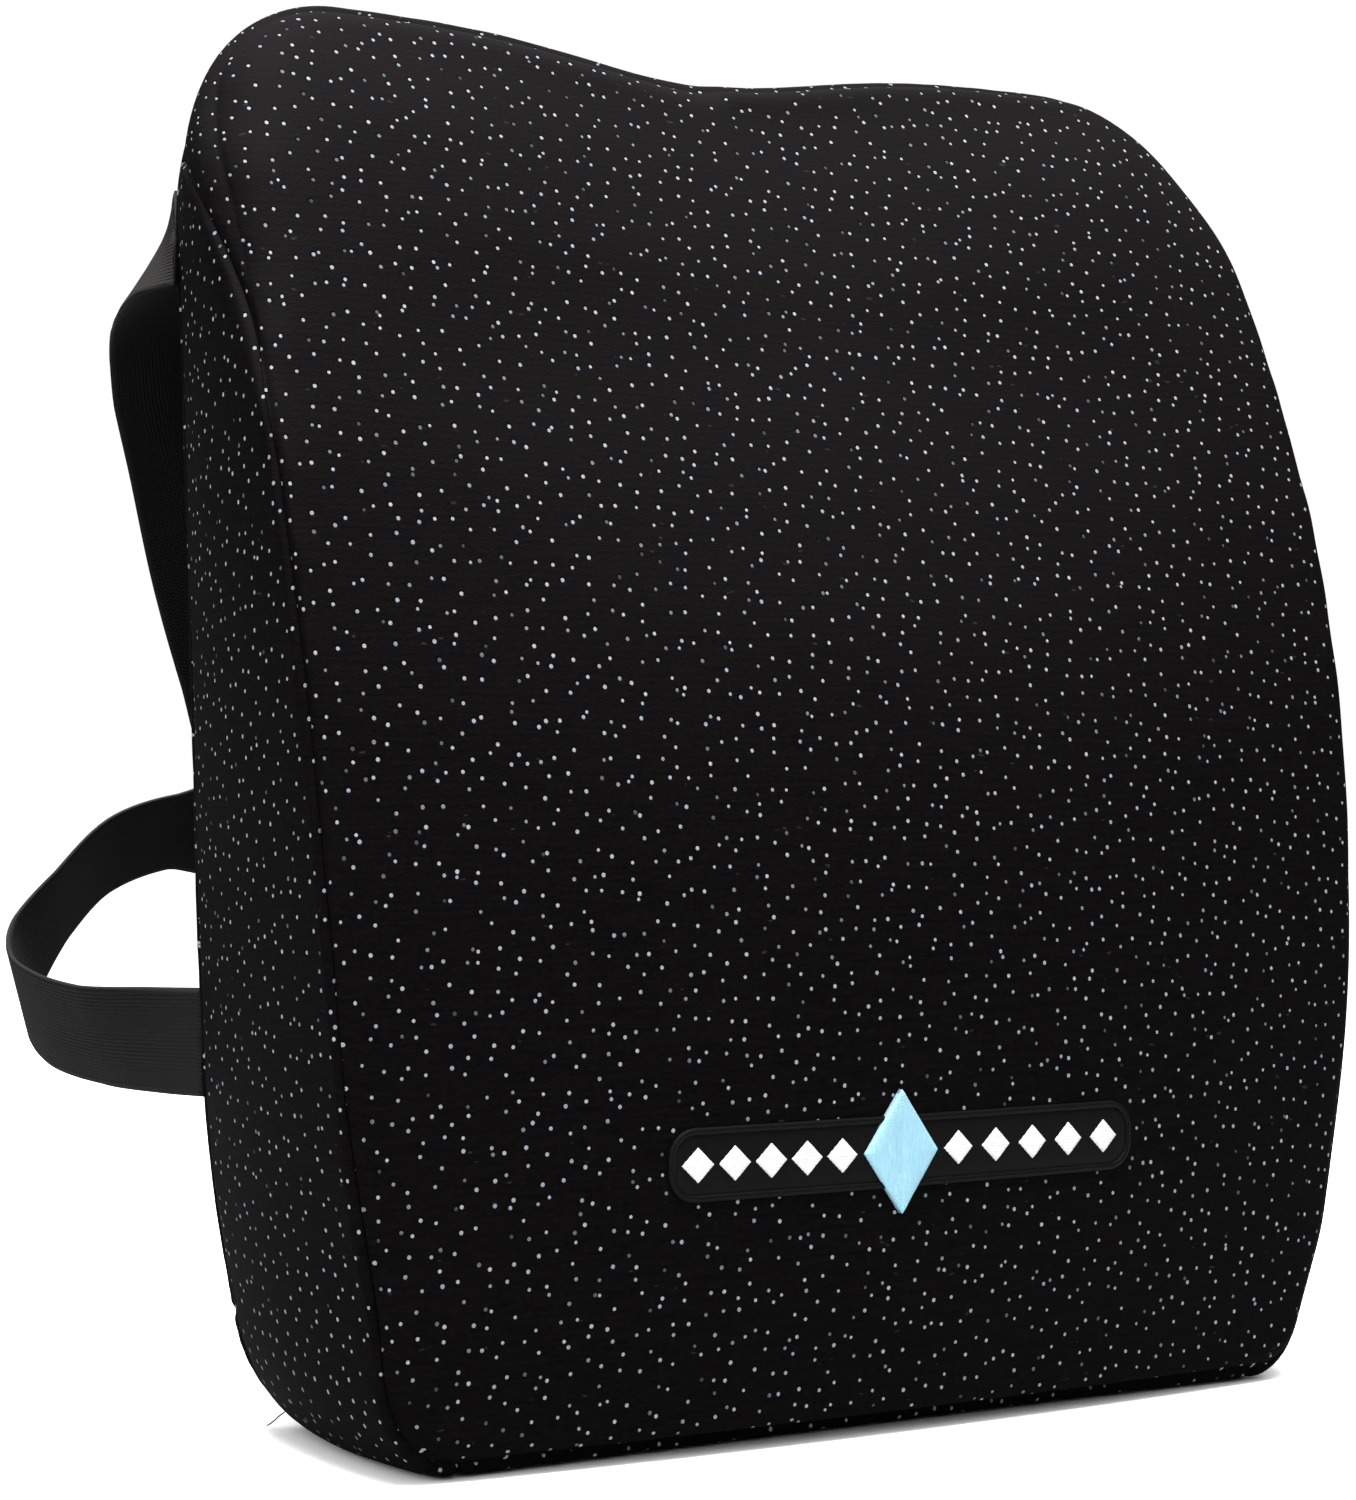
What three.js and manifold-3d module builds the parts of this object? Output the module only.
// Lumbar support cushion: foam wedge in a zipped fabric cover, with two webbing straps
// that close behind a chair back on side-release buckles.
// Millimetres. X to the right seen from the front, front faces -Y, Z up.
// Origin: middle of the flat bottom face. All pieces are drawn from the back panel's outer face
// (y = 0 in the group); the group is then moved by BACK_Y. A "depth" is a distance towards -Y.
import * as THREE from 'three';
import Module from 'manifold-3d';

const wasm = await Module();
wasm.setup();

// ---------------------------------------------------------------- dimensions
const BACK_Y = 42;             // back plane to origin
const HEIGHT = 329;            // bottom face to the top shoulders
const TOP_DIP = { depth: 8.5, spread: 47, fade: 70 }; // dip in the middle of the top edge
const CLOTH = 2;               // cover fabric with its bonded backing
const GAP = 0.3;               // clearance between neighbouring pieces
const FOAM_CLEAR = 1.8;        // foam to cover, at the side and front
const FOAM_BACK_CLEAR = 1.2;   // foam to back panel
const CENTRE_Z = 150;          // height of the point the faces are meshed around

// half width of the front and rear outlines: [height, half width]
const FRONT_WIDTH = [
  [0, 132.5], [30, 136], [90, 145.5], [150, 149.5], [210, 151], [260, 151], [290, 150],
];
const REAR_WIDTH = [
  [0, 117], [20, 122], [40, 126.5], [60, 130], [90, 132.5], [150, 135.5], [210, 138.5], [290, 141],
];
const FRONT = {
  width: pchip(FRONT_WIDTH), bottom: 3, top: HEIGHT,
  corner: { rx: 21, rz: 25 }, shoulder: { rx: 44, rz: 48 },
};
const REAR = {
  width: pchip(REAR_WIDTH), bottom: 2, top: HEIGHT - 4,
  corner: { rx: 24, rz: 30 }, shoulder: { rx: 42, rz: 48 },
};
// points along each run of half an outline
const SEGMENTS = { bottom: 7, corner: 6, side: 13, shoulder: 8, top: 8 };

// depth of the front face inside the panel: [height, depth]
const bodyDepth = pchip([
  [0, 82], [30, 83.5], [90, 83.5], [150, 79.5], [210, 67.5], [250, 54.5], [270, 47.5], [290, 40],
  [310, 32], [330, 24],
]);
// depth of the front face at its edge: [height, depth]
const edgeDepth = pchip([
  [0, 83], [30, 84], [90, 84], [150, 79.5], [210, 67.5], [250, 53.5], [262, 48.5], [272, 44],
  [282, 38.5], [292, 32], [302, 25], [312, 18.5], [322, 13.5], [330, 11],
]);
// depth of the seam between gusset and front panel: [height, depth].
// It leaves the edge and runs back to the rear seam at the shoulder.
const seamDepth = pchip([
  [0, 83], [30, 84], [90, 84], [150, 79.5], [210, 67.5], [240, 57.5], [250, 53], [262, 45],
  [272, 36.5], [281, 26.5], [287, 18.5], [292, 10.5], [296, 3], [330, 0],
]);

// relief of the front face; every from/to pair is a height range for a smooth blend
const CROWN = { low: 8, high: -5, from: 120, to: 270 };  // crown below, hollow above
const FURROW = { depth: 3, spread: 45, from: 230, to: 300 }; // upper middle
const ROLL = { width: 34, power: 2.2, from: 190, to: 250 };  // rolled edge along the top
const ROLL_EDGE_Z = 240;       // the rolled edge follows the outline above this height
const GUSSET_BULGE = 2.5;
const BOTTOM_BULGE = { depth: 6, power: 0.4 };

const WALL_START = CLOTH + GAP; // the side wall begins just ahead of the back panel
const LIP = 2.4;               // the front panel turns this far round its edge
const LIP_STEPS = [0, 0.33, 0.66, 0.9];
const FACE_STEPS = [1, 0.93, 0.85, 0.76, 0.66, 0.55, 0.43, 0.3, 0.16]; // edge to centre
const GUSSET_STEPS = [0, 0.08, 0.25, 0.5, 0.75, 0.92, 1];

// ---------------------------------------------------------------- small tools
// monotone cubic through [x, y] rows, constant beyond both ends
function pchip(table) {
  const x = table.map(row => row[0]);
  const y = table.map(row => row[1]);
  const last = x.length - 1;
  const step = [];
  const rise = [];
  for (let i = 0; i < last; i++) {
    step.push(x[i + 1] - x[i]);
    rise.push((y[i + 1] - y[i]) / step[i]);
  }
  const slope = new Array(last + 1).fill(0);
  for (let i = 1; i < last; i++) {
    if (rise[i - 1] * rise[i] <= 0) continue;
    const before = 2 * step[i] + step[i - 1];
    const after = step[i] + 2 * step[i - 1];
    slope[i] = (before + after) / (before / rise[i - 1] + after / rise[i]);
  }
  slope[0] = rise[0];
  slope[last] = rise[last - 1];
  return at => {
    if (at <= x[0]) return y[0];
    if (at >= x[last]) return y[last];
    let i = 0;
    while (at > x[i + 1]) i++;
    const s = (at - x[i]) / step[i];
    const s2 = s * s;
    const s3 = s2 * s;
    return y[i] * (2 * s3 - 3 * s2 + 1) + step[i] * slope[i] * (s3 - 2 * s2 + s)
      + y[i + 1] * (-2 * s3 + 3 * s2) + step[i] * slope[i + 1] * (s3 - s2);
  };
}
function smooth(from, to, value) {
  const s = Math.min(1, Math.max(0, (value - from) / (to - from)));
  return s * s * (3 - 2 * s);
}
const lerp = (a, b, t) => a + (b - a) * t;
const span = (middle, half) => [middle - half, middle + half];
const bell = (x, spread) => Math.exp(-((x / spread) ** 2));

// ---------------------------------------------------------------- mesh helpers
// closed mesh from points and triangles, turned outside out if needed
function toGeometry(points, triangles) {
  let volume = 0;
  for (const [a, b, c] of triangles) {
    const [p, q, r] = [points[a], points[b], points[c]];
    volume += p[0] * (q[1] * r[2] - q[2] * r[1]) - p[1] * (q[0] * r[2] - q[2] * r[0])
      + p[2] * (q[0] * r[1] - q[1] * r[0]);
  }
  const oriented = volume < 0 ? triangles.map(flip) : triangles;
  const geometry = new THREE.BufferGeometry();
  geometry.setAttribute('position', new THREE.Float32BufferAttribute(points.flat(), 3));
  geometry.setIndex(oriented.flat());
  geometry.computeVertexNormals();
  return geometry;
}
const flip = ([a, b, c]) => [a, c, b];
const quad = (a, b, c, d) => [[a, b, c], [a, c, d]];

// triangles of a grid with the given number of strips in i and points in j
function sheet(strips, rows, at) {
  const triangles = [];
  for (let i = 0; i < strips; i++) {
    for (let j = 0; j < rows - 1; j++) {
      triangles.push(...quad(at(i, j), at(i + 1, j), at(i + 1, j + 1), at(i, j + 1)));
    }
  }
  return triangles;
}

// closed shell between two grids of the same size, grid[i][j]
function shell(outer, inner) {
  const rows = outer[0].length;
  const endI = outer.length - 1;
  const endJ = rows - 1;
  const out = (i, j) => i * rows + j;
  const inn = (i, j) => (outer.length + i) * rows + j;
  const triangles = [...sheet(endI, rows, out), ...sheet(endI, rows, inn).map(flip)];
  for (let i = 0; i < endI; i++) {
    triangles.push(
      ...quad(out(i, 0), inn(i, 0), inn(i + 1, 0), out(i + 1, 0)),
      ...quad(out(i, endJ), out(i + 1, endJ), inn(i + 1, endJ), inn(i, endJ)),
    );
  }
  for (let j = 0; j < endJ; j++) {
    triangles.push(
      ...quad(out(0, j), out(0, j + 1), inn(0, j + 1), inn(0, j)),
      ...quad(out(endI, j), inn(endI, j), inn(endI, j + 1), out(endI, j + 1)),
    );
  }
  return toGeometry([...outer.flat(), ...inner.flat()], triangles);
}

// geometry to Manifold solid, welding equal vertices
function solid(geometry) {
  const position = geometry.attributes.position;
  const seen = new Map();
  const vertices = [];
  const welded = [];
  for (let i = 0; i < position.count; i++) {
    const point = [position.getX(i), position.getY(i), position.getZ(i)];
    const key = point.map(value => Math.round(value * 1e4)).join();
    if (!seen.has(key)) {
      seen.set(key, vertices.length / 3);
      vertices.push(...point);
    }
    welded.push(seen.get(key));
  }
  const corners = geometry.index ? Array.from(geometry.index.array).map(i => welded[i]) : welded;
  const triangles = [];
  for (let i = 0; i < corners.length; i += 3) {
    const [a, b, c] = corners.slice(i, i + 3);
    if (a !== b && b !== c && a !== c) triangles.push(a, b, c);
  }
  return new wasm.Manifold(new wasm.Mesh({
    numProp: 3,
    vertProperties: new Float32Array(vertices),
    triVerts: new Uint32Array(triangles),
  }));
}
function fromSolid(body) {
  const { numVert, numTri, numProp, vertProperties, triVerts } = body.getMesh();
  const points = [];
  const triangles = [];
  for (let i = 0; i < numVert; i++) {
    points.push(Array.from(vertProperties.slice(i * numProp, i * numProp + 3)));
  }
  for (let i = 0; i < numTri; i++) triangles.push(Array.from(triVerts.slice(3 * i, 3 * i + 3)));
  return toGeometry(points, triangles);
}

// box between [from, to] pairs
function box([x0, x1], [y0, y1], [z0, z1]) {
  const geometry = new THREE.BoxGeometry(x1 - x0, y1 - y0, z1 - z0);
  return geometry.translate((x0 + x1) / 2, (y0 + y1) / 2, (z0 + z1) / 2);
}
const cutBox = (body, ...spans) => body.subtract(solid(box(...spans)));

const vectors = points => points.map(([x, y]) => new THREE.Vector2(x, y));
const polygon = points => new THREE.Shape(vectors(points));
function roundedRect(x0, x1, y0, y1, r) {
  const shape = new THREE.Shape();
  shape.moveTo(x0 + r, y0);
  shape.lineTo(x1 - r, y0);
  shape.absarc(x1 - r, y0 + r, r, -Math.PI / 2, 0);
  shape.lineTo(x1, y1 - r);
  shape.absarc(x1 - r, y1 - r, r, 0, Math.PI / 2);
  shape.lineTo(x0 + r, y1);
  shape.absarc(x0 + r, y1 - r, r, Math.PI / 2, Math.PI);
  shape.lineTo(x0, y0 + r);
  shape.absarc(x0 + r, y0 + r, r, Math.PI, 1.5 * Math.PI);
  return shape;
}
function rectHole(x0, x1, y0, y1) {
  const hole = new THREE.Path(vectors([[x0, y0], [x1, y0], [x1, y1], [x0, y1]]));
  hole.closePath();
  return hole;
}
// plate lying in XY, centred on z = 0, with an optional bevelled edge
function plate(shape, thickness, bevel = 0, curveSegments = 4) {
  const geometry = new THREE.ExtrudeGeometry(shape, {
    depth: thickness - 2 * bevel,
    bevelEnabled: bevel > 0,
    bevelThickness: bevel,
    bevelSize: bevel,
    bevelOffset: -bevel,
    bevelSegments: 1,
    curveSegments,
  });
  return geometry.translate(0, 0, -thickness / 2 + bevel);
}

// ---------------------------------------------------------------- cushion surfaces
// Closed outline in the XZ plane, from the bottom middle towards +X and round.
// Point i of the front outline faces point i of the rear one.
function outline({ width, bottom, top, corner, shoulder }) {
  const cornerZ = bottom + corner.rz;
  const cornerX = width(cornerZ) - corner.rx;
  const shoulderZ = top - shoulder.rz;
  const shoulderX = width(shoulderZ) - shoulder.rx;
  const half = [];
  const run = (count, pointAt) => {
    for (let i = 0; i < count; i++) half.push(pointAt(i / count));
  };
  run(SEGMENTS.bottom, t => [cornerX * t, bottom]);
  run(SEGMENTS.corner, t => {
    const angle = Math.PI / 2 * t;
    return [cornerX + corner.rx * Math.sin(angle), cornerZ - corner.rz * Math.cos(angle)];
  });
  run(SEGMENTS.side, t => {
    const z = lerp(cornerZ, shoulderZ, t);
    return [width(z), z];
  });
  run(SEGMENTS.shoulder, t => {
    const angle = Math.PI / 2 * t;
    return [shoulderX + shoulder.rx * Math.cos(angle), shoulderZ + shoulder.rz * Math.sin(angle)];
  });
  run(SEGMENTS.top, t => [shoulderX * (1 - t), top]);
  half.push([0, top]);
  const right = half.map(([x, z]) => {
    const dip = TOP_DIP.depth * bell(x, TOP_DIP.spread);
    return [x, z - dip * smooth(top - TOP_DIP.fade, top, z)];
  });
  const left = right.slice(1, -1).reverse().map(([x, z]) => [-x, z]);
  return [...right, ...left];
}

// outward normals of an outline
function outlineNormals(points) {
  return points.map((_, i) => {
    const before = points.at(i - 1);
    const after = points[(i + 1) % points.length];
    const dx = after[0] - before[0];
    const dz = after[1] - before[1];
    const length = Math.hypot(dx, dz);
    return [dz / length, -dx / length];
  });
}
function makeLoop(dimensions) {
  const points = outline(dimensions);
  return { points, normals: outlineNormals(points) };
}
const frontLoop = makeLoop(FRONT);
const rearLoop = makeLoop(REAR);
const COUNT = frontLoop.points.length;
const edgeDepthAt = i => edgeDepth(frontLoop.points[i][1]);

function inset({ points, normals }, i, distance) {
  return [points[i][0] - normals[i][0] * distance, points[i][1] - normals[i][1] * distance];
}
const towardsCentre = ([x, z], scale) => [x * scale, CENTRE_Z + (z - CENTRE_Z) * scale];

// distance from a point to the upper part of the front outline, and the height it is met at
const upperEdge = frontLoop.points.filter(point => point[1] > ROLL_EDGE_Z);
function nearestUpperEdge(x, z) {
  let nearest = { distance: Infinity };
  for (let i = 0; i + 1 < upperEdge.length; i++) {
    const [ax, az] = upperEdge[i];
    const dx = upperEdge[i + 1][0] - ax;
    const dz = upperEdge[i + 1][1] - az;
    const along = ((x - ax) * dx + (z - az) * dz) / (dx * dx + dz * dz);
    const t = Math.min(1, Math.max(0, along));
    const distance = Math.hypot(x - ax - dx * t, z - az - dz * t);
    if (distance < nearest.distance) nearest = { distance, height: az + dz * t };
  }
  return nearest;
}

// depth of the front face at a point of the panel
function faceDepth(x, z) {
  const crown = lerp(CROWN.low, CROWN.high, smooth(CROWN.from, CROWN.to, z));
  const furrow = FURROW.depth * bell(x, FURROW.spread) * smooth(FURROW.from, FURROW.to, z);
  const body = bodyDepth(z) + crown * (1 - Math.min(1, (x / FRONT.width(z)) ** 2)) - furrow;
  if (z < ROLL.from) return body;
  const { distance, height } = nearestUpperEdge(x, z);
  const t = Math.min(1, distance / ROLL.width);
  const rise = Math.pow(1 - Math.pow(1 - t, ROLL.power), 1 / ROLL.power);
  const rolled = lerp(edgeDepth(height), body, rise);
  return lerp(body, rolled, smooth(ROLL.from, ROLL.to, z));
}
// point of the front face, scale = 1 at the edge, offset inwards
function face(i, scale, offset) {
  const [x, z] = towardsCentre(inset(frontLoop, i, offset), scale);
  const depth = faceDepth(...towardsCentre(frontLoop.points[i], scale));
  return [x, -(depth - offset), z];
}

// point of the side wall, t = 0 at the rear outline, 1 at the front edge, offset inwards.
// The run under the cushion is held at z = 0 or above, so that it stands flat.
function wall(i, t, offset) {
  const rear = inset(rearLoop, i, offset);
  const front = inset(frontLoop, i, offset);
  const normalX = lerp(rearLoop.normals[i][0], frontLoop.normals[i][0], t);
  const normalZ = lerp(rearLoop.normals[i][1], frontLoop.normals[i][1], t);
  const down = Math.min(1, Math.max(0, -normalZ));
  const arch = Math.max(0, Math.sin(Math.PI * t));
  const bulge = GUSSET_BULGE * arch * (1 - down)
    + BOTTOM_BULGE.depth * Math.pow(arch, BOTTOM_BULGE.power) * down;
  const x = lerp(rear[0], front[0], t) + normalX * bulge;
  const z = lerp(rear[1], front[1], t) + normalZ * bulge;
  return [x, -edgeDepthAt(i) * t, Math.max(z, offset)];
}
// depth at which the front panel begins
function panelStart(i) {
  return Math.max(WALL_START, Math.min(seamDepth(frontLoop.points[i][1]), edgeDepthAt(i)) - LIP);
}

// neighbours of a fractional place on the outline
function neighbours(place) {
  const wrap = i => ((i % COUNT) + COUNT) % COUNT;
  const i = Math.floor(place);
  return { a: wrap(i), b: wrap(i + 1), part: place - i };
}
function wallAt(place, depth, offset) {
  const { a, b, part } = neighbours(place);
  const p = wall(a, Math.min(1, depth / edgeDepthAt(a)), offset);
  const q = wall(b, Math.min(1, depth / edgeDepthAt(b)), offset);
  return [lerp(p[0], q[0], part), -depth, lerp(p[2], q[2], part)];
}
function panelStartAt(place) {
  const { a, b, part } = neighbours(place);
  return lerp(panelStart(a), panelStart(b), part);
}

// ---------------------------------------------------------------- cover and foam
// front panel: a shell that turns round its edge, each side closed by a centre point
function frontPanel() {
  const side = offset => frontLoop.points.map((_, i) => {
    const from = panelStart(i) / edgeDepthAt(i);
    return [
      ...LIP_STEPS.map(s => wall(i, lerp(from, 1, s), offset)),
      ...FACE_STEPS.map(scale => face(i, scale, offset)),
    ];
  });
  const centre = offset => [0, -(faceDepth(0, CENTRE_Z) - offset), CENTRE_Z];
  const outer = side(0);
  const points = [...outer.flat(), ...side(CLOTH).flat(), centre(0), centre(CLOTH)];
  const rows = outer[0].length;
  const end = rows - 1;
  const out = (i, j) => (i % COUNT) * rows + j;
  const inn = (i, j) => COUNT * rows + out(i, j);
  const outerCentre = points.length - 2;
  const innerCentre = points.length - 1;
  const triangles = [...sheet(COUNT, rows, out), ...sheet(COUNT, rows, inn).map(flip)];
  for (let i = 0; i < COUNT; i++) {
    triangles.push(
      [out(i, end), out(i + 1, end), outerCentre],
      [inn(i + 1, end), inn(i, end), innerCentre],
      ...quad(out(i + 1, 0), out(i, 0), inn(i, 0), inn(i + 1, 0)),
    );
  }
  return toGeometry(points, triangles);
}

// gusset strip through the given places on the outline
function gusset(places) {
  const side = offset => places.map(place => {
    const end = panelStartAt(place) - 2 * GAP;
    return GUSSET_STEPS.map(s => wallAt(place, lerp(WALL_START, end, s), offset));
  });
  return shell(side(0), side(CLOTH));
}
const BOTTOM_END = SEGMENTS.bottom; // outline point where the bottom run ends
function sidePlaces() {
  const places = [BOTTOM_END + 0.06];
  let last = BOTTOM_END;
  // stop where the strip would become narrower than 2 mm
  while (panelStart(last + 1) - 2 * GAP > WALL_START + 2) {
    last++;
    places.push(last);
  }
  return [...places, last + 0.6];
}
function bottomPlaces() {
  const end = BOTTOM_END - 0.02;
  const places = [-end];
  for (let i = 1 - BOTTOM_END; i < BOTTOM_END; i++) places.push(i);
  return [...places, end];
}

const FOAM_BACK_STEPS = [0.35, 0.7]; // centre to edge of the back face
const FOAM_WALL_STEPS = [0.35, 0.7]; // back face to front edge
// where the edge is thinner than `below`, the foam is drawn in by `extra`,
// on the front face only outside the scale `from`
const THIN_EDGE = { below: 14, extra: 2.5, from: 0.8 };
function foam() {
  const offset = CLOTH + FOAM_CLEAR;
  const backDepth = CLOTH + FOAM_BACK_CLEAR;
  const columns = frontLoop.points.map((_, i) => {
    const edge = edgeDepthAt(i);
    const frontDepth = edge - offset;
    const extra = edge < THIN_EDGE.below ? THIN_EDGE.extra : 0;
    const column = FOAM_BACK_STEPS.map(scale => {
      const [x, z] = towardsCentre(inset(rearLoop, i, offset), scale);
      return [x, -backDepth, z];
    });
    const backT = backDepth / edge;
    for (const s of [0, ...FOAM_WALL_STEPS]) {
      const [x, , z] = wall(i, lerp(backT, 1, s), offset + extra);
      column.push([x, -lerp(backDepth, frontDepth, s), z]);
    }
    for (const scale of FACE_STEPS) {
      const fade = Math.max(0, (scale - THIN_EDGE.from) / (1 - THIN_EDGE.from));
      const point = face(i, scale, offset + extra * fade);
      if (scale === 1) point[1] = -frontDepth;
      column.push(point);
    }
    return column;
  });
  const points = [
    ...columns.flat(),
    [0, -backDepth, CENTRE_Z],
    [0, -(faceDepth(0, CENTRE_Z) - offset), CENTRE_Z],
  ];
  const backCentre = points.length - 2;
  const frontCentre = points.length - 1;
  const rows = columns[0].length;
  const at = (i, j) => (i % COUNT) * rows + j;
  const triangles = sheet(COUNT, rows, at);
  for (let i = 0; i < COUNT; i++) {
    triangles.push(
      [at(i, rows - 1), at(i + 1, rows - 1), frontCentre],
      [at(i + 1, 0), at(i, 0), backCentre],
    );
  }
  return toGeometry(points, triangles);
}

// the teeth meet at height z; the slot in the back panel reaches slot above and below it
const ZIP = { z: 28, half: 112, slot: 8 };

// back panel: a flat plate in the rear outline, less the part between two heights
function backPanel(cutFrom, cutTo) {
  const geometry = new THREE.ExtrudeGeometry(polygon(rearLoop.points), {
    depth: CLOTH,
    bevelEnabled: false,
  });
  geometry.rotateX(Math.PI / 2); // the plate runs from y = 0 to y = -CLOTH
  return fromSolid(cutBox(solid(geometry), [-200, 200], [-10, 10], [cutFrom, cutTo]));
}

// raised embroidery on the lower front: a round-ended band that follows the face
const BAND = { x0: -62, x1: 70, z: 66.5, halfHeight: 7.5, endHalfHeight: 2, thickness: 0.8 };
const BAND_SEGMENTS = 24;
function embroidery() {
  const { x0, x1, halfHeight } = BAND;
  const side = offset => {
    const columns = [];
    for (let i = 0; i <= BAND_SEGMENTS; i++) {
      const x = lerp(x0, x1, i / BAND_SEGMENTS);
      const toCentre = Math.max(0, halfHeight - Math.min(x - x0, x1 - x));
      const half = Math.max(BAND.endHalfHeight, Math.sqrt(halfHeight ** 2 - toCentre ** 2));
      columns.push([-1, -0.4, 0.4, 1].map(across => {
        const z = BAND.z + across * half;
        return [x, -(faceDepth(x, z) + offset), z];
      }));
    }
    return columns;
  };
  return shell(side(GAP + BAND.thickness), side(GAP));
}

// ---------------------------------------------------------------- zipper
// up = 1 for the upper half, -1 for the lower half
const TAPE_INNER = 2.1;        // inner edge of a tape, from the middle of the zipper
function tape(up) {
  const edges = [ZIP.z + up * TAPE_INNER, ZIP.z + up * (ZIP.slot - GAP)];
  return box(span(0, ZIP.half + 8), [-0.5, 0.1], edges.sort((a, b) => a - b));
}

const COIL_END = 5.2;          // the coils stop this far short of the zipper's left end
// section of a coil: [distance from the middle of the zipper, y]
const COIL_SECTION = [[0.12, -1], [1.8, -1], [1.95, -0.2], [1.8, 0.6], [0.12, 0.6], [0.12, -0.2]];
function coil(up) {
  const section = polygon(COIL_SECTION.map(([z, y]) => [up * z, y]));
  const geometry = new THREE.ExtrudeGeometry(section, {
    depth: 2 * ZIP.half - COIL_END,
    bevelEnabled: false,
  });
  // section x becomes z, section y stays y, the extrusion runs towards -X
  geometry.applyMatrix4(new THREE.Matrix4().makeBasis(
    new THREE.Vector3(0, 0, 1), new THREE.Vector3(0, 1, 0), new THREE.Vector3(-1, 0, 0)));
  return geometry.translate(ZIP.half, 0, ZIP.z);
}

// end stop: side = -1 for the left end, 1 for the right end
const zipStop = side =>
  box(span(side * (ZIP.half + 1.9), 1.5), [-1.1, 1], span(ZIP.z, 1.9));

const SLIDER_X = -ZIP.half + 8;
const SLIDER_PLATE = [
  [-5, -2.6], [-1, -4.2], [4, -4.2], [5.2, -3.2], [5.2, 3.2], [4, 4.2], [-1, 4.2], [-5, 2.6],
];
// profile of the bail and its opening: [x from the slider, y from the bail's foot]
const BAIL = [[-3.6, 0], [3.6, 0], [3.6, 2.4], [2.6, 3.6], [-2.6, 3.6], [-3.6, 2.4]];
const BAIL_HOLE = [[-2.4, 0.5], [-2.4, 2.1], [-1.8, 2.6], [1.8, 2.6], [2.4, 2.1], [2.4, 0.5]];
const BAIL_FOOT_Y = 1.7;
const BAIL_WIDTH = 2;

// turn a plate from XY into XZ and put it at the slider
const layAtSlider = (geometry, y) => geometry.rotateX(Math.PI / 2).translate(SLIDER_X, y, ZIP.z);
function slider() {
  const body = polygon(SLIDER_PLATE);
  let result = solid(layAtSlider(plate(body, 0.9, 0.2), 1.4));
  result = result.add(solid(layAtSlider(plate(body, 0.7, 0.15), -1.75)));
  // flanges along the upper and lower edges of both plates
  for (const side of [-1, 1]) {
    for (const ySpan of [[0.45, 1.3], [-1.7, -0.85]]) {
      const zSpan = span(ZIP.z + side * 3.6, 0.5);
      result = result.add(solid(box([SLIDER_X - 1, SLIDER_X + 4], ySpan, zSpan)));
    }
  }
  // the post joins the two plates and stands clear of the coils' end
  const post = box([SLIDER_X - 4.6, SLIDER_X - 3.2], [-1.8, 1.6], span(ZIP.z, 1));
  result = result.add(solid(post));
  // bail that carries the pull
  const profile = polygon(BAIL);
  profile.holes.push(new THREE.Path(vectors(BAIL_HOLE)));
  const bail = new THREE.ExtrudeGeometry(profile, { depth: BAIL_WIDTH, bevelEnabled: false });
  bail.translate(SLIDER_X, BAIL_FOOT_Y, ZIP.z - BAIL_WIDTH / 2);
  return fromSolid(result.add(solid(bail)));
}

const PULL_Y = 3.25;
function pull() {
  const shape = roundedRect(-0.7, 24, -3.6, 3.6, 1);
  const eye = new THREE.Path();
  eye.absarc(19.5, 0, 1.6, 0, Math.PI * 2, true);
  shape.holes.push(rectHole(0.6, 5.4, -1.5, 1.5), eye);
  return layAtSlider(plate(shape, 1.3, 0, 5), PULL_Y);
}

// ---------------------------------------------------------------- buckles
// Buckle and adjuster are drawn along X with the webbing's width along Y.
// The webbing's offsets are measured towards -Z from the buckle's middle plane.
const HALF_WIDTH = 16.5;
const SLOT = span(0, 13.1);    // webbing slots, across
const THROUGH = span(0, 6);    // cuts right through the thickness
const WEB_LINE = 0.8;          // offset of the straight webbing's middle
const SOCKET = { x0: -30, x1: 8 };
const PLUG = { x0: SOCKET.x1 + GAP, x1: 23.5 };
const ADJUSTER = { x: 64, half: 10.2 };
// the strap ends of socket and plug mirror each other
const opposite = x => SOCKET.x0 + PLUG.x1 - x;

// webbing slot, and the recesses above and below the bar beyond it
const SLOT_X = [-27, -22.5];
const RECESS_X = [-32, -22];
function cutStrapEnd(body, slotX, recessX) {
  let result = cutBox(body, slotX, SLOT, THROUGH);
  for (const side of [-1, 1]) {
    result = cutBox(result, recessX, span(0, 20), span(side * 4.4, 2.2));
  }
  return result;
}
function socket() {
  let body = solid(plate(roundedRect(SOCKET.x0, SOCKET.x1, -HALF_WIDTH, HALF_WIDTH, 4), 9, 1));
  body = cutBox(body, [-14, 20], span(0, 13.2), span(0, 2.6)); // cavity for the plug
  // side windows for the latches
  for (const side of [-1, 1]) body = cutBox(body, [-10.5, 1.5], span(side * 15.5, 3.5), THROUGH);
  return fromSolid(cutStrapEnd(body, SLOT_X, RECESS_X));
}

const TONGUE = [[9, -2.6], [9, 2.6], [-6, 2.2], [-9.5, 1.2], [-9.5, -1.2], [-6, -2.2]];
function plug() {
  const shape = roundedRect(PLUG.x0, PLUG.x1, -HALF_WIDTH, HALF_WIDTH, 3.5);
  const mirrorSpan = ([x0, x1]) => [opposite(x1), opposite(x0)];
  const body = cutStrapEnd(solid(plate(shape, 8, 1)), mirrorSpan(SLOT_X), mirrorSpan(RECESS_X));
  return fromSolid(body.add(solid(plate(polygon(TONGUE), 4.2))));
}

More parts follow.
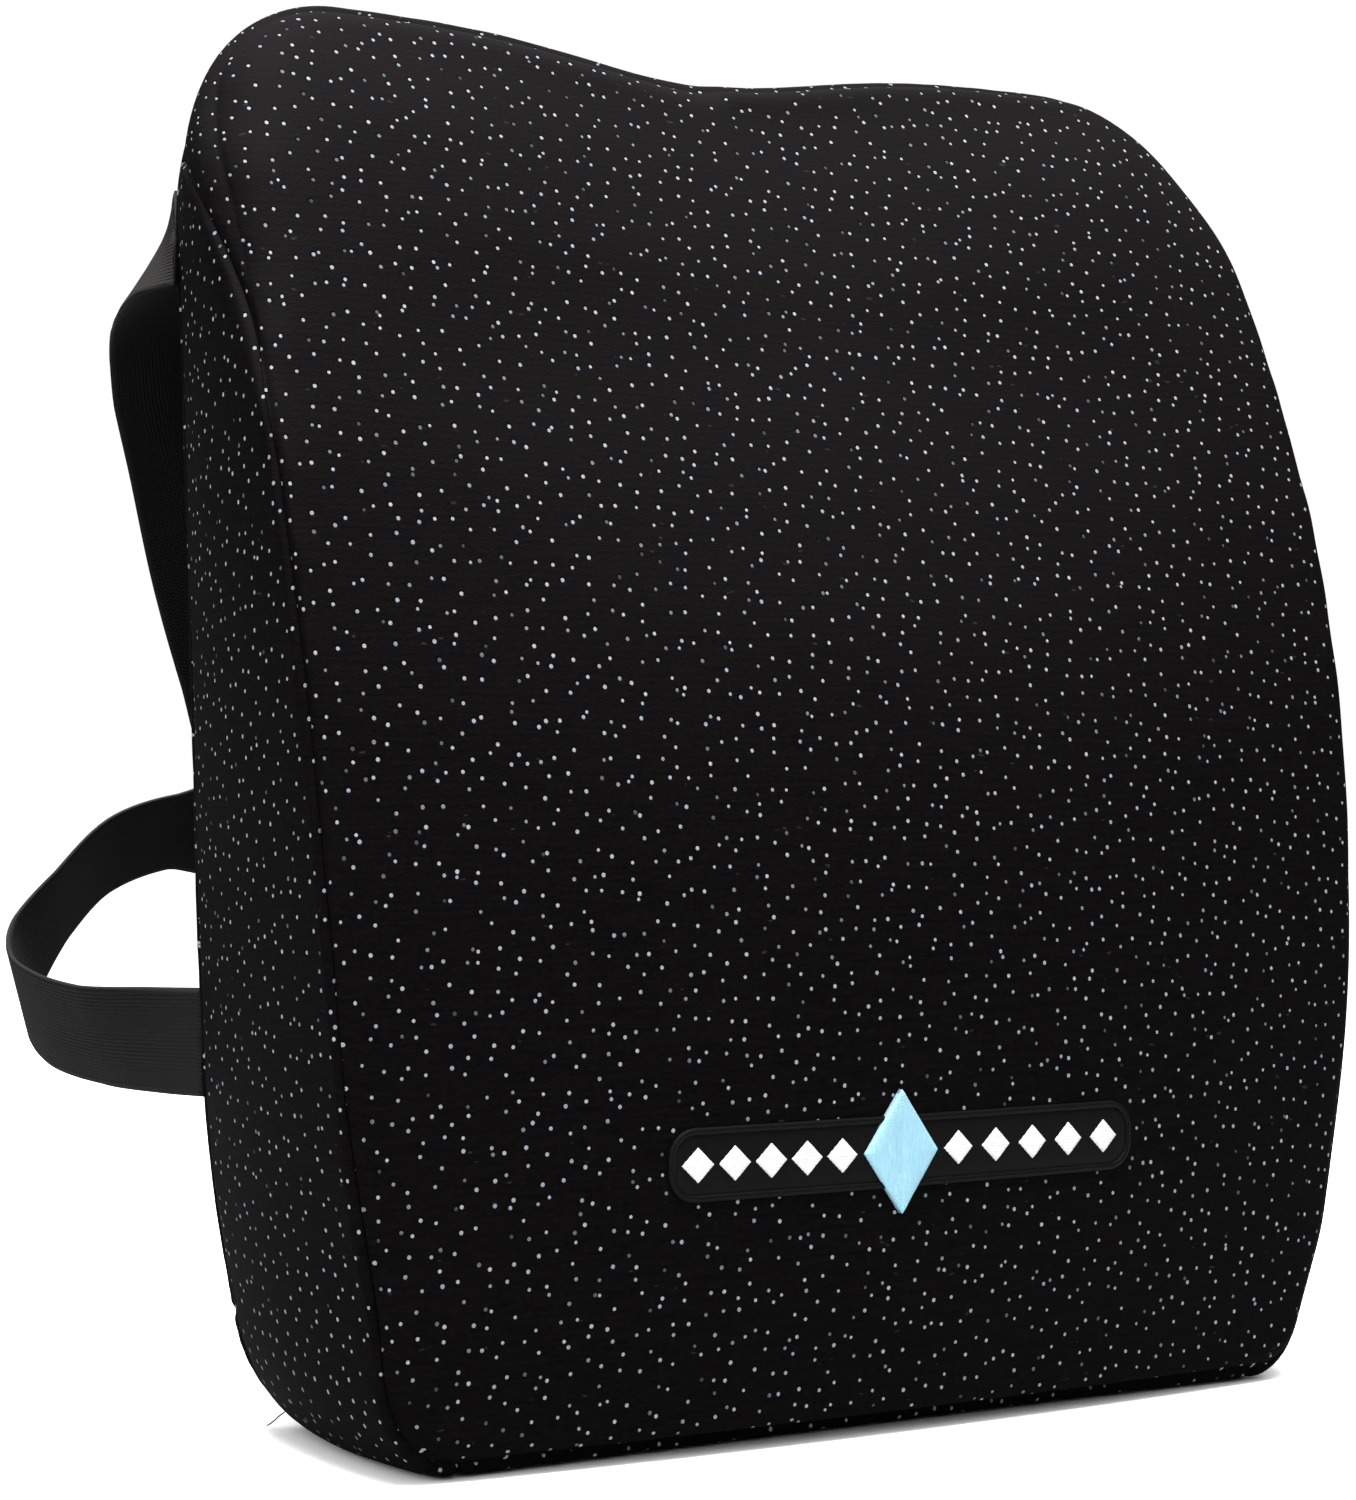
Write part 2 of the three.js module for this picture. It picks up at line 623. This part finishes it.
const LATCH = [
  [8, 7.4], [8, 10.4], [2.2, 10.7], [0.8, 12.6], [-1.5, 12.9], [-6, 12.9], [-11, 10.6],
  [-12, 9.4], [-11, 8.6], [-5, 9.4], [2, 8.2],
];
const latch = side => plate(polygon(LATCH.map(([x, y]) => [x, side * y])), 4.4);

function adjuster() {
  const shape = roundedRect(-ADJUSTER.half, ADJUSTER.half, -HALF_WIDTH, HALF_WIDTH, 3);
  shape.holes.push(rectHole(-7, -1.2, ...SLOT), rectHole(1.2, 7, ...SLOT));
  return plate(shape, 2.2, 0.5);
}

// ---------------------------------------------------------------- straps
const WEB = { width: 25, thickness: 1.5 };
const STATION_STEP = 4;        // spacing of stations along a free run
const STATION_CLEAR = 1.5;     // least distance in X from the right buckle run to the free run

// free runs, from the cover to where the strap lies straight behind it:
// [x, y, z of the webbing's middle,  x, y, z of its width direction]
const LOWER_LEFT = [
  [-134.4, -1.8, 90, 0, 0, 1], [-135, 20, 90, 0, 0, 1],
  [-137.5, 50, 90.3, 0, 0, 1], [-138, 78, 92.5, -0.05, 0, 1],
  [-134, 98, 98, -0.3, 0, 1], [-124, 110, 106.5, -0.6, 0, 0.9],
  [-112, 115.5, 118, -0.66, 0, 0.75], [-97, 117.5, 129.5, -0.5, 0, 0.85],
  [-80, 118, 134.8, -0.15, 0, 1], [-64, 118, 136, 0, 0, 1],
];
// the same columns, from the straight part back to the cover
const LOWER_RIGHT = [
  [100, 118, 136, 0, 0, 1], [113, 116.5, 133.5, 0.25, 0, 1],
  [125, 110, 125, 0.5, 0, 0.9], [133, 99, 113, 0.5, 0, 0.9],
  [137.5, 82, 101, 0.25, 0, 1], [138, 60, 93.5, 0.05, 0, 1],
  [136.8, 40, 90.8, 0, 0, 1], [135, 20, 90, 0, 0, 1],
  [134.4, -1.8, 90, 0, 0, 1],
];
const UPPER_LEFT = [
  [-141.6, -1.8, 273, 0, 0, 1], [-142, 8, 272.6, 0.02, 0, 1],
  [-138.5, 20, 270.5, 0.45, 0, 0.89], [-131.5, 32, 265.5, 0.85, 0, 0.5],
  [-125, 41.5, 256, 1, 0, 0.12], [-121, 46.5, 243, 1, 0, 0.1],
  [-116.5, 49.5, 225, 1, 0, 0.2], [-109.5, 51, 200, 0.97, 0, 0.26],
  [-102, 51, 176, 0.97, 0.1, 0.3], [-94, 50, 156, 0.8, 0.5, 0.3],
  [-84, 49, 141, 0.4, 0.9, 0.2], [-71, 48.2, 131, 0.05, 1, 0],
  [-60, 48, 128.2, 0, 1, 0], [-54, 48, 128, 0, 1, 0],
];
const UPPER_RIGHT = UPPER_LEFT.map(([x, y, z, wx, wy, wz]) => [-x, y, z, -wx, wy, wz]).reverse();

// webbing in the buckle's frame: [x, offset]
const LEAD_IN = [[-56, WEB_LINE], [-50, WEB_LINE], [-43, WEB_LINE]];
// round the socket's bar and back along itself
const BAR_WRAP = [
  [-36, WEB_LINE], [-33, 1.9], [-31, 3], [-29.5, 3.25], [-27.2, 3.25], [-25.4, 2.7],
  [-24.5, 1.5], [-24.25, 0], [-24.5, -1.5], [-25.4, -2.7], [-27.2, -3.25], [-29.5, -3.25],
  [-31, -3], [-33, -2.05], [-36, -1], [-42, -0.95], [-50, -0.95],
];
// through the adjuster, from its own middle and the webbing's line
const WEAVE = [
  [-15, 0], [-13, -0.7], [-11, -1.9], [-9.5, -2.3], [-7.6, -2.3], [-6.4, -1.9], [-5.2, -0.9],
  [-4.2, 0], [-3.2, 0.9], [-2.2, 1.9], [-1.2, 2.3], [0, 2.35], [1.2, 2.3], [2.2, 1.9],
  [3.2, 0.9], [4.2, 0], [5.2, -0.9], [6.4, -1.9], [7.6, -2.3], [9.5, -2.3], [11, -1.9],
  [13, -0.7], [15, 0],
];
const RIGHT_RUN = [
  ...BAR_WRAP.map(([x, offset]) => [opposite(x), offset]).reverse(),
  [36.5, WEB_LINE], [43, WEB_LINE],
  ...WEAVE.map(([x, offset]) => [x + ADJUSTER.x, offset + WEB_LINE]),
];

// ribbon through stations { centre, across }, across = width direction
function ribbon(stations) {
  const end = stations.length - 1;
  const points = stations.flatMap(({ centre, across }, i) => {
    const before = stations[Math.max(0, i - 1)].centre;
    const after = stations[Math.min(end, i + 1)].centre;
    const tangent = after.clone().sub(before).normalize();
    const width = across.clone().addScaledVector(tangent, -across.dot(tangent)).normalize();
    const normal = new THREE.Vector3().crossVectors(tangent, width);
    return [[-1, -1], [1, -1], [1, 1], [-1, 1]].map(([u, v]) => centre.clone()
      .addScaledVector(width, u * WEB.width / 2)
      .addScaledVector(normal, v * WEB.thickness / 2)
      .toArray());
  });
  const triangles = [];
  for (let i = 0; i < end; i++) {
    for (let k = 0; k < 4; k++) {
      const a = 4 * i + k;
      const b = 4 * i + (k + 1) % 4;
      triangles.push(...quad(a, b, b + 4, a + 4));
    }
  }
  const e = 4 * end;
  triangles.push([0, 2, 1], [0, 3, 2], ...quad(e, e + 1, e + 2, e + 3));
  return toGeometry(points, triangles);
}

// evenly spaced stations on a smooth curve through a free-run table
function freeStations(table) {
  const points = table.map(row => new THREE.Vector3(...row.slice(0, 3)));
  const widths = table.map(row => new THREE.Vector3(...row.slice(3)));
  const curve = new THREE.CatmullRomCurve3(points, false, 'centripetal');
  const count = Math.round(curve.getLength() / STATION_STEP);
  const stations = [];
  for (let i = 0; i <= count; i++) {
    const t = curve.getUtoTmapping(i / count);
    const place = t * (table.length - 1);
    const k = Math.min(table.length - 2, Math.floor(place));
    const across = widths[k].clone().lerp(widths[k + 1], place - k);
    stations.push({ centre: curve.getPoint(t), across });
  }
  return stations;
}
// stations of a run given in the buckle's frame
function buckleStations(run, frame) {
  return run.map(([x, offset]) => ({
    centre: new THREE.Vector3(x, 0, -offset).applyMatrix4(frame),
    across: new THREE.Vector3(0, 1, 0).transformDirection(frame),
  }));
}
function leftStrap({ left, leadIn, frame }) {
  return ribbon([...freeStations(left), ...buckleStations([...leadIn, ...BAR_WRAP], frame)]);
}
function rightStrap({ right, frame }) {
  const atBuckle = buckleStations(RIGHT_RUN, frame);
  const from = atBuckle.at(-1).centre.x + STATION_CLEAR;
  return ribbon([...atBuckle, ...freeStations(right).filter(({ centre }) => centre.x > from)]);
}

// frame: where the buckle lies. The upper one lies flat, the lower one stands behind the cushion.
const STRAPS = [
  {
    name: 'upper', left: UPPER_LEFT, right: UPPER_RIGHT,
    leadIn: [],                // the free run already ends close to the buckle
    frame: new THREE.Matrix4().makeTranslation(-14, 48, 128),
  },
  {
    name: 'lower', left: LOWER_LEFT, right: LOWER_RIGHT,
    leadIn: LEAD_IN,
    frame: new THREE.Matrix4().makeBasis(
      new THREE.Vector3(1, 0, 0), new THREE.Vector3(0, 0, 1), new THREE.Vector3(0, -1, 0),
    ).setPosition(0, 118, 136),
  },
];

// ---------------------------------------------------------------- materials
const material = (color, roughness, metalness = 0) =>
  new THREE.MeshStandardMaterial({ color, roughness, metalness });
const FOAM = material(0xd9d2c2, 0.95);
const FABRIC = material(0x1b181a, 0.9);
const THREAD = material(0x7f9fc4, 0.6);
const TAPE = material(0x17171a, 0.9);
const COIL = material(0x17171a, 0.5);
const METAL = material(0x2b2b2e, 0.4, 0.7);
const WEBBING = material(0x242326, 0.8);
const PLASTIC = material(0x101012, 0.45);

// ---------------------------------------------------------------- assembly
const model = new THREE.Group();
model.name = 'lumbar_support_cushion';
model.position.y = BACK_Y;
function add(name, geometry, meshMaterial, frame) {
  const mesh = new THREE.Mesh(geometry, meshMaterial);
  mesh.name = name;
  if (frame) mesh.applyMatrix4(frame);
  model.add(mesh);
}

const rightPlaces = sidePlaces();
const leftPlaces = rightPlaces.map(place => COUNT - place).reverse();
add('foam_core', foam(), FOAM);
add('cover_front_panel', frontPanel(), FABRIC);
add('cover_gusset_right', gusset(rightPlaces), FABRIC);
add('cover_gusset_left', gusset(leftPlaces), FABRIC);
add('cover_gusset_bottom', gusset(bottomPlaces()), FABRIC);
add('cover_back_panel_upper', backPanel(-10, ZIP.z + ZIP.slot), FABRIC);
add('cover_back_panel_lower', backPanel(ZIP.z - ZIP.slot, 400), FABRIC);
add('front_embroidery', embroidery(), THREAD);

add('zipper_tape_upper', tape(1), TAPE);
add('zipper_tape_lower', tape(-1), TAPE);
add('zipper_coil_upper', coil(1), COIL);
add('zipper_coil_lower', coil(-1), COIL);
add('zipper_stop_left', zipStop(-1), METAL);
add('zipper_stop_right', zipStop(1), METAL);
add('zipper_slider', slider(), METAL);
add('zipper_pull', pull(), METAL);

for (const strap of STRAPS) {
  const { name, frame } = strap;
  const onWebbing = new THREE.Matrix4().makeTranslation(ADJUSTER.x, 0, -WEB_LINE);
  add(`${name}_strap_left`, leftStrap(strap), WEBBING);
  add(`${name}_strap_right`, rightStrap(strap), WEBBING);
  add(`${name}_buckle_socket`, socket(), PLASTIC, frame);
  add(`${name}_buckle_plug`, plug(), PLASTIC, frame);
  add(`${name}_buckle_latch_a`, latch(1), PLASTIC, frame);
  add(`${name}_buckle_latch_b`, latch(-1), PLASTIC, frame);
  add(`${name}_strap_adjuster`, adjuster(), PLASTIC, frame.clone().multiply(onWebbing));
}

export default model;
